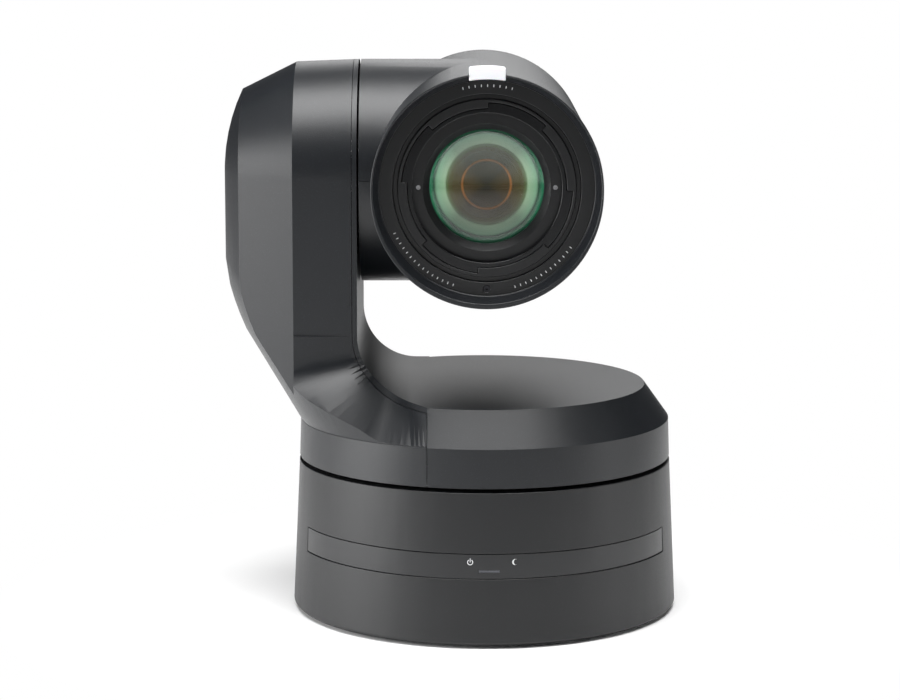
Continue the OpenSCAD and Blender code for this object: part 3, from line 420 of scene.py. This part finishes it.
# ---- Rear panel and sockets ----------------------------------------------------------------------
# A plain moulded panel at the back with nickel-plated shells and black inserts. The sockets are
# soldered to the main board and stand through the panel.
black_plastic = moulded("black_plastic", (0.013, 0.013, 0.014), 0.5, grains=1800.0, relief=0.00001, bright=0.0)
nickel = metal("nickel_plate", (0.68, 0.66, 0.62), 0.2, along=(0.3, 1, 0.3))
eased("rear_panel", 0.0003, moulded("rear_panel_moulding", (0.016, 0.017, 0.019), 0.5, relief=0.00002, bright=0.02))
for name in ("sdi_sockets", "hdmi_socket", "network_sockets"):
    finish_node(name, nickel)
for name in ("power_socket", "audio_socket"):
    finish_node(name, black_plastic)

# ---- Works inside the base -----------------------------------------------------------------------
# Circuit boards in solder mask, stepper motors and their belts, the fan, and the turntable on its
# bearing, all screwed to the base plate.
aluminium = metal("machined_aluminium", (0.6, 0.61, 0.62), 0.3, along=(1, 1, 0.1))
cast_grey = metal("die_cast_aluminium", (0.42, 0.43, 0.44), 0.5, streaks=500.0, relief=0.00002)
gold = metal("gold_contacts", (0.72, 0.5, 0.2), 0.22, along=(1, 1, 6))
solder_mask = moulded("solder_mask", (0.012, 0.085, 0.034), 0.34, grains=260.0, relief=0.00001,
                      bright=0.06, bright_lift=5.0)
for name in ("main_board", "indicator_board", "arm_board", "sensor_board"):
    finish_node(name, solder_mask)
for name in ("pan_motor", "tilt_motor", "lens_motors"):
    finish_node(name, black_screw)
for name in ("pan_motor_bracket", "arm_frame", "lens_mount"):
    finish_node(name, zinc_plate)
for name in ("pan_bearing", "tilt_bearing", "tilt_shaft", "nd_wheel_axle"):
    finish_node(name, bright_steel)
for name in ("pan_motor_pulley", "tilt_motor_pulley", "tilt_pulley", "heat_sink"):
    finish_node(name, aluminium)
for name in ("pan_belt", "tilt_belt"):
    finish_node(name, rubber)
for name in ("fan_frame", "fan_rotor", "iris_ring", "lens_tube"):
    finish_node(name, black_plastic)
finish_node("turntable", cast_grey)
finish_node("slip_ring", gold)
finish_node("cover_screws", black_screw)

# ---- Turning unit's covers ---------------------------------------------------------------------
# Two mouldings that meet at a fine seam: the pan cover, and the arm cover with its domed end.
# The same charcoal resin in a coarser spark-eroded grain, screwed to the turntable from below.
charcoal_covers = moulded("charcoal_grained_moulding", (0.0052, 0.0064, 0.0084), 0.40, grains=FINE_GRAIN,
                          relief=0.000045, bright=0.04, bright_lift=1.7)
for name in ("pan_cover", "arm_cover"):
    smoothed(name, charcoal_covers)

# ---- Head shells and rear cover ------------------------------------------------------------------
# The barrel in two halves with a seam along its sides, closed at the back by a domed cover on two
# screws. Same resin and grain as the covers.
for name in ("head_upper_shell", "head_lower_shell", "head_rear_cover"):
    smoothed(name, charcoal_covers)
LENS_Z = 0.2095                   # height of the optical axis
finish_node("rear_cover_screws", black_screw)

# ---- Front rim and bezel -------------------------------------------------------------------------
# Satin black rings pressed into the front of the barrel, with printed index marks round the
# bezel and one cap screw at its foot. The bayonet for the hood lies inside them.
satin_black = moulded("satin_black_trim", (0.0060, 0.0063, 0.0070), 0.36, grains=2400.0, relief=0.000012,
                      bright=0.0, lift=0.2)
gloss_black = moulded("gloss_black_trim", (0.0050, 0.0053, 0.0060), 0.22, grains=2400.0, relief=0.000006,
                      bright=0.0, lift=0.2)
eased("front_rim", 0.0004, charcoal_covers)
eased("lens_bezel", 0.0003, satin_black)
eased("bayonet_ring", 0.00035, satin_black)
eased("inner_ring", 0.00035, gloss_black)
finish_node("lens_ring", satin_black)
finish_node("lens_ring_screws", bright_steel)
finish_node("bezel_screw", black_screw)


def tick(name, length, width, height=0.00004):
    """One printed mark, long from the centre outwards, a hair above its seat."""
    x, y = length / 2, width / 2
    mesh = bpy.data.meshes.new(name)
    mesh.from_pydata([(-x, -y, height), (x, -y, height), (x, y, height), (-x, y, height)], [], [(0, 1, 2, 3)])
    return mesh


bezel_face = facing((0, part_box("lens_bezel")[0].y, LENS_Z), (0, -1, 0))
MARK_R, MARK_LENGTH, MARK_WIDTH = 0.0463, 0.0011, 0.00035
for name, count, first, sweep in (("bezel_marks_top", 9, 76, 31), ("bezel_marks_left", 15, 206, 48),
                                  ("bezel_marks_right", 13, 286, 42)):
    mark = tick(name + "_tick", MARK_LENGTH, MARK_WIDTH)
    marks = round_a_circle(name, mark, print_white, bezel_face, count, MARK_R,
                           first=math.radians(first), sweep=math.radians(sweep), turn=0.0)
    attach(marks, "head")

# ---- Lens ----------------------------------------------------------------------------------------
# A coated front element over a stack of cells. The coating throws back green, amber and violet; here that is painted
# reflection:
# each deeper surface carries a painted ring of its own colour that also glows, so it shows as a ring inside the
# barrel.
glass, tree, shader, place = new_material("coated_glass")
shader.inputs["Base Color"].default_value = (0.93, 1.0, 0.96, 1)
shader.inputs["Metallic"].default_value = 0.0
shader.inputs["Transmission Weight"].default_value = 1.0
shader.inputs["Roughness"].default_value = 0.0
shader.inputs["IOR"].default_value = 1.52

inner_glass = glass.copy()
inner_glass.name = "cell_glass"
for name in ("zoom_group", "rear_lens", "focus_group"):
    finish_node(name, inner_glass)
finish_node("nd_filter_wheel", black_plastic)
finish_node("image_sensor", moulded("sensor_silicon", (0.02, 0.03, 0.05), 0.15, relief=0.000001, bright=0.0))


def turned(name, profile, material, steps=128):
    """A closed solid of (radius, Y) pairs turned about the optical axis, flat at both ends."""
    work = bmesh.new()
    rows = [[work.verts.new((r * math.cos(math.tau * k / steps), y, LENS_Z + r * math.sin(math.tau * k / steps)))
             for k in range(steps)] for r, y in profile]
    for near, far in zip(rows, rows[1:]):
        for k in range(steps):
            work.faces.new((near[k - 1], near[k], far[k], far[k - 1]))
    work.faces.new(rows[0])
    work.faces.new(rows[-1])
    bmesh.ops.recalc_face_normals(work, faces=work.faces)
    obj = mesh_object(name, [], [])
    work.to_mesh(obj.data)
    work.free()
    obj.data.shade_smooth()
    obj.data.set_sharp_from_angle(angle=math.radians(30))
    put_on(obj, material)
    return obj


def crown(edge_y, rise, rings=22):
    """Points of a spherical face from near the axis out to the rim; it bulges by rise along Y."""
    ball = (GLASS_R ** 2 + rise ** 2) / (2 * abs(rise))
    radii = [GLASS_R * max(k, 0.1) / rings for k in range(rings + 1)]
    return [(r, edge_y + math.copysign(math.sqrt(ball ** 2 - r ** 2) - ball + abs(rise), rise)) for r in radii]


GLASS_R = 0.026                   # radius of the front element
front_face = crown(-0.0669, -0.005)
back_face = crown(-0.0635, 0.0015)
stood_in(turned("front_element", front_face + back_face[::-1], glass), "front_lens")

# Painted reflection: a colour ramp by distance from the optical axis, used as the cells' colour and as a glow,
# though they are no lamp.
painted_reflection, tree, shader, place = new_material("lens_painted_reflection")
parts = wire(tree, "ShaderNodeSeparateXYZ", {"Vector": place})
up = wire(tree, "ShaderNodeMath", {0: parts.outputs["Z"], 1: LENS_Z}, operation="SUBTRACT")
across = wire(tree, "ShaderNodeMath", {0: parts.outputs["X"], 1: parts.outputs["X"]}, operation="MULTIPLY")
square = wire(tree, "ShaderNodeMath", {0: up.outputs[0], 1: up.outputs[0], 2: across.outputs[0]},
              operation="MULTIPLY_ADD")
radius = wire(tree, "ShaderNodeMath", {0: square.outputs[0]}, operation="SQRT")
share = wire(tree, "ShaderNodeMath", {0: radius.outputs[0], 1: 0.026}, operation="DIVIDE")
ramp = wire(tree, "ShaderNodeValToRGB", {"Fac": share.outputs[0]})
PAINTED_REFLECTION_RINGS = ((0.0, (0.010, 0.008, 0.002)), (0.2, (0.022, 0.013, 0.002)), (0.36, (0.030, 0.016, 0.003)),
        (0.385, (0.16, 0.055, 0.010)), (0.41, (0.030, 0.018, 0.004)), (0.58, (0.035, 0.030, 0.008)),
        (0.63, (0.050, 0.075, 0.030)), (0.67, (0.16, 0.23, 0.15)), (0.80, (0.10, 0.19, 0.12)),
        (0.84, (0.006, 0.030, 0.016)), (0.92, (0.012, 0.090, 0.045)), (1.0, (0.003, 0.012, 0.008)))
stops = ramp.color_ramp.elements
while len(stops) < len(PAINTED_REFLECTION_RINGS):
    stops.new(0.5)
for stop, (where, colour) in zip(stops, PAINTED_REFLECTION_RINGS):
    stop.position, stop.color = where, colour + (1,)
# Painted highlight: the painted reflection glows most to the left and right, where the coating faces the softboxes.
sideways = wire(tree, "ShaderNodeMath", {0: across.outputs[0], 1: square.outputs[0]}, operation="DIVIDE")
painted_glint_strength = wire(tree, "ShaderNodeMapRange",
             {"Value": sideways.outputs[0], "From Min": 0.45, "From Max": 0.98, "To Min": 0.35, "To Max": 1.6})
tree.links.new(ramp.outputs["Color"], shader.inputs["Base Color"])
tree.links.new(ramp.outputs["Color"], shader.inputs["Emission Color"])
tree.links.new(painted_glint_strength.outputs["Result"], shader.inputs["Emission Strength"])
shader.inputs["Roughness"].default_value = 0.16
shader.inputs["Coat Weight"].default_value = 0.6
STACK = ((0.0010, -0.0545), (0.0259, -0.0545), (0.0259, -0.0612), (0.0252, -0.0600), (0.0252, -0.0596),
         (0.0240, -0.0592), (0.0240, -0.0586), (0.0224, -0.0580), (0.0222, -0.0572), (0.0168, -0.0568),
         (0.0163, -0.0558), (0.0120, -0.0562), (0.0060, -0.0565), (0.0015, -0.0566))
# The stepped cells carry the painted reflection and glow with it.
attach(turned("lens_cells", STACK, painted_reflection), "head")

# ---- Tally lamp ------------------------------------------------------------------------------------
# A white diffusing cap over two lamps on top of the front rim, snapped in from inside.
lamp_white, tree, shader, place = new_material("lamp_diffuser")
noise = wire(tree, "ShaderNodeTexNoise", {"Vector": place, "Scale": 300.0, "Detail": 2.0})
gloss = wire(tree, "ShaderNodeMapRange", {"Value": noise.outputs["Fac"], "To Min": 0.28, "To Max": 0.4})
tree.links.new(gloss.outputs["Result"], shader.inputs["Roughness"])
shader.inputs["Base Color"].default_value = (0.80, 0.81, 0.84, 1)
shader.inputs["Subsurface Weight"].default_value = 0.15
shader.inputs["Subsurface Scale"].default_value = 0.003
eased("tally_lamp", 0.0005, lamp_white)

# ---- Floor, light and background --------------------------------------------------------------------
# A plain pale floor that meets a white background. One wide softbox overhead, one at the front
# left, a weak one at the right, and dim light from behind.
floor = mesh_object("floor", [(-3, -3, 0), (3, -3, 0), (3, 3, 0), (-3, 3, 0)], [(0, 1, 2, 3)])
floor_paint, tree, shader, place = new_material("floor_paint")
shader.inputs["Base Color"].default_value = (0.9, 0.9, 0.9, 1)
shader.inputs["Roughness"].default_value = 0.85
from_middle = wire(tree, "ShaderNodeVectorMath", {0: place}, operation="LENGTH")
fade = wire(tree, "ShaderNodeMapRange", {"Value": from_middle.outputs["Value"], "From Min": 0.10, "From Max": 0.24},
            interpolation_type="SMOOTHSTEP")
path = wire(tree, "ShaderNodeLightPath")
blank = wire(tree, "ShaderNodeMath", {0: fade.outputs["Result"], 1: path.outputs["Is Camera Ray"]},
             operation="MULTIPLY")
white = wire(tree, "ShaderNodeEmission", {"Color": (1, 1, 1, 1), "Strength": 1.0})
both = wire(tree, "ShaderNodeMixShader", {0: blank.outputs[0], 1: shader.outputs[0], 2: white.outputs[0]})
tree.links.new(both.outputs[0], tree.nodes["Material Output"].inputs["Surface"])
put_on(floor, floor_paint)


def softbox(name, place, aim, size, power):
    light = bpy.data.lights.new(name, "AREA")
    light.shape, light.size, light.size_y, light.energy = "RECTANGLE", size[0], size[1], power
    obj = bpy.data.objects.new(name, light)
    obj.location = place
    obj.rotation_euler = (Vector(aim) - Vector(place)).to_track_quat("-Z", "Y").to_euler()
    bpy.context.scene.collection.objects.link(obj)
    return obj


MIDDLE = (0, 0, 0.15)
softbox("overhead", (0.0, -0.25, 1.3), MIDDLE, (1.2, 0.8), 30)
softbox("front_left", (-1.35, -0.35, 0.35), MIDDLE, (1.0, 0.8), 22)
softbox("right", (1.3, -0.3, 0.4), MIDDLE, (0.4, 0.8), 3.5)
softbox("behind", (0.2, 1.3, 0.9), MIDDLE, (1.0, 0.8), 6)

world = bpy.data.worlds.new("white_studio")
bpy.context.scene.world = world
world.use_nodes = True
tree = world.node_tree
tree.nodes.clear()
path = wire(tree, "ShaderNodeLightPath")
seen = wire(tree, "ShaderNodeBackground", {"Color": (1, 1, 1, 1), "Strength": 1.0})
lit = wire(tree, "ShaderNodeBackground", {"Color": (1, 1, 1, 1), "Strength": 0.03})
either = wire(tree, "ShaderNodeMixShader", {0: path.outputs["Is Camera Ray"], 1: lit.outputs[0], 2: seen.outputs[0]})
wire(tree, "ShaderNodeOutputWorld", {"Surface": either.outputs[0]})
bpy.context.scene.view_settings.view_transform = "Standard"
